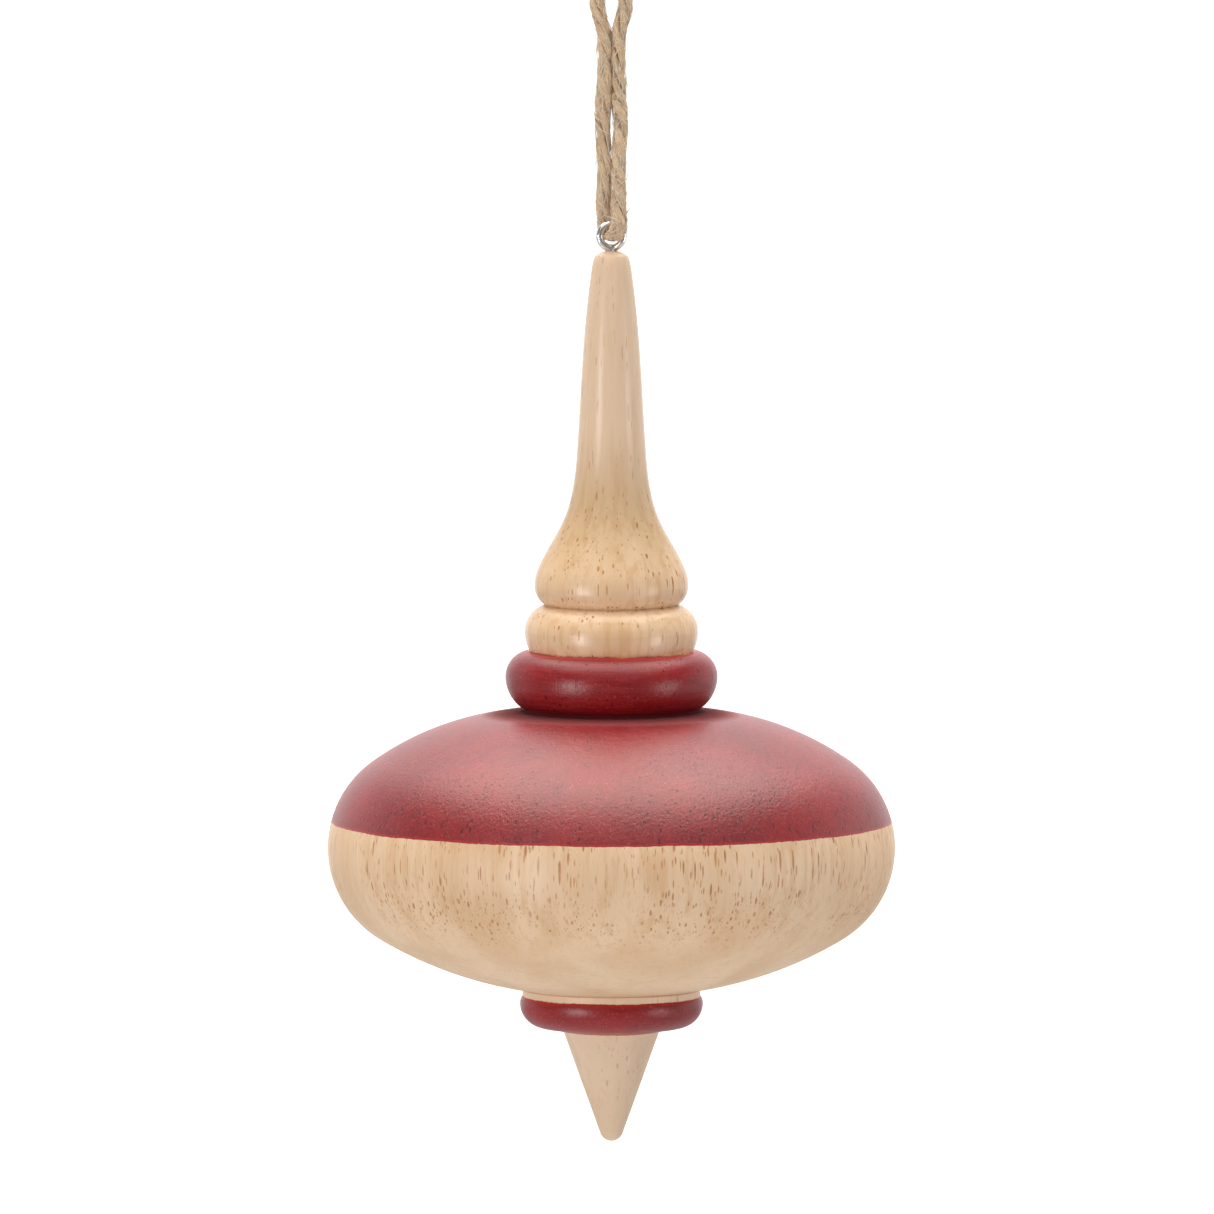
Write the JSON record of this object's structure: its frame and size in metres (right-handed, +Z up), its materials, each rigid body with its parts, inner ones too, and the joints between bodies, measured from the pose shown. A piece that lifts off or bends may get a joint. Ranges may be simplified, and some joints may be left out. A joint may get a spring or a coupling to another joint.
{
  "type": "hanging top ornament",
  "caption": "Turned wooden ornament shaped like a spinning top: long neck, two beads and a collar on a wide round body with a pointed tip, hung by a twine loop through a screw eye.",
  "frame": {"origin": "inside top of the twine loop, where a hook bears", "axes": "+Z up along the ornament's axis, -Y towards the viewer, +X to the viewer's right"},
  "size_m": [0.1142, 0.1142, 0.2511],
  "materials": {
    "clear_finished_wood": "satin clear finish over light hardwood, grain along the axis",
    "red_painted_wood": "satin deep red paint above the widest level, clear finish below it",
    "dowel_wood": "bare beech",
    "nickel_plated_steel": "bright nickel plate",
    "jute_twine": "natural, hairy"
  },
  "bodies": {
    "hanger": {"twine_top": "jute_twine", "twine_knot": "jute_twine"},
    "twine": {"twine_legs": "jute_twine"},
    "ornament": {"upper_finial": "clear_finished_wood", "body": "red_painted_wood", "lower_finial": "clear_finished_wood", "upper_dowel": "dowel_wood", "lower_dowel": "dowel_wood", "screw_eye": "nickel_plated_steel"}
  },
  "joints": [
    {"name": "spin", "type": "hinge", "parent": "hanger", "child": "twine", "pos_m": [0, 0, -0.013], "axis": [0, 0, 1], "range_deg": [-180, 180], "stiffness_Nm_per_rad": 0.0001},
    {"name": "swing", "type": "hinge", "parent": "twine", "child": "ornament", "pos_m": [0, 0, -0.0512], "axis": [0.2588, -0.9659, 0], "range_deg": [-70, 90]}
  ]
}
